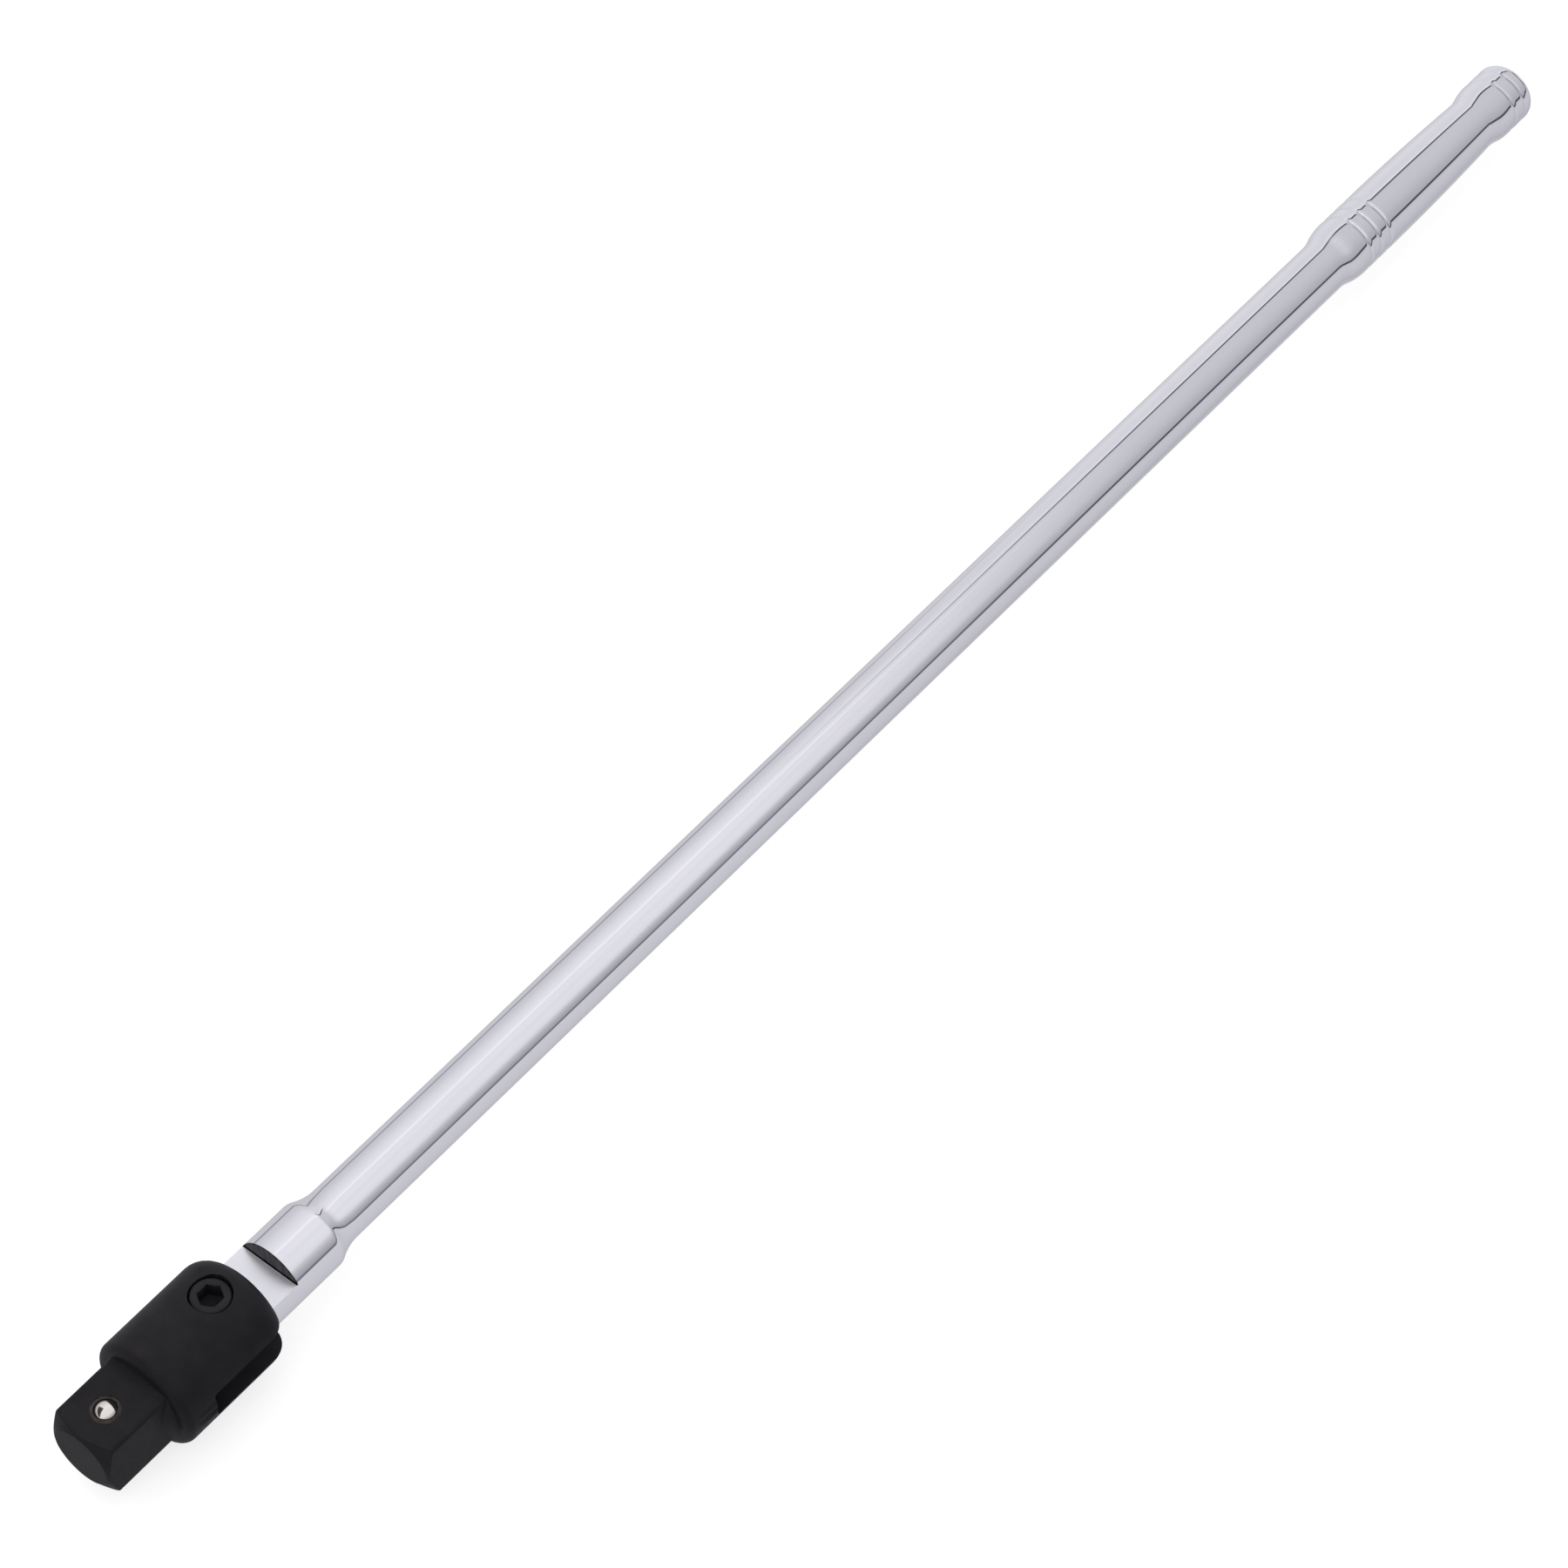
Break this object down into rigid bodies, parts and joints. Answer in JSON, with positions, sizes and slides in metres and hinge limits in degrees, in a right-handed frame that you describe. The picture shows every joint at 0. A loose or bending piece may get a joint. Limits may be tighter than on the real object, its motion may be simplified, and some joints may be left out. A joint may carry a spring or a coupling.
{
  "type": "breaker bar",
  "caption": "Long chromed breaker bar with a black swivelling head, a male square drive with a retaining ball, and a waisted grip.",
  "frame": {"origin": "centre of the drive square's end face", "axes": "+X from the drive's end face to the end of the grip, +Z along the pivot screw's axis, out of its hexagon socket"},
  "size_m": [0.61, 0.0316, 0.0316],
  "materials": {
    "chrome_bar": "bright polished chrome plate",
    "black_head": "satin black phosphate on forged steel",
    "black_screw": "satin black oxide on steel",
    "spring_steel": "plain drawn spring steel",
    "polished_ball": "polished hardened bearing steel"
  },
  "bodies": {
    "handle": {"handle_bar": "chrome_bar", "detent_spring": "spring_steel"},
    "head": {"drive_head": "black_head", "pivot_screw": "black_screw", "lock_washer": "spring_steel", "retaining_spring": "spring_steel"},
    "retaining_ball": {"retaining_ball": "polished_ball"},
    "detent_ball": {"detent_ball": "polished_ball"}
  },
  "joints": [
    {"name": "head_pivot", "type": "hinge", "parent": "handle", "child": "head", "pos_m": [0.047, 0, 0], "axis": [0, 0, 1], "range_deg": [-105, 105]},
    {"name": "retaining_ball_press", "type": "slide", "parent": "head", "child": "retaining_ball", "axis": [0, 0, -1], "range_m": [0, 0.0014], "stiffness_N_per_m": 1500, "springref_m": -0.001, "deforming": ["retaining_spring"]},
    {"name": "detent_ball_press", "type": "slide", "parent": "handle", "child": "detent_ball", "axis": [1, 0, 0], "range_m": [0, 0.0006], "stiffness_N_per_m": 3000, "springref_m": -0.001, "deforming": ["detent_spring"]}
  ]
}
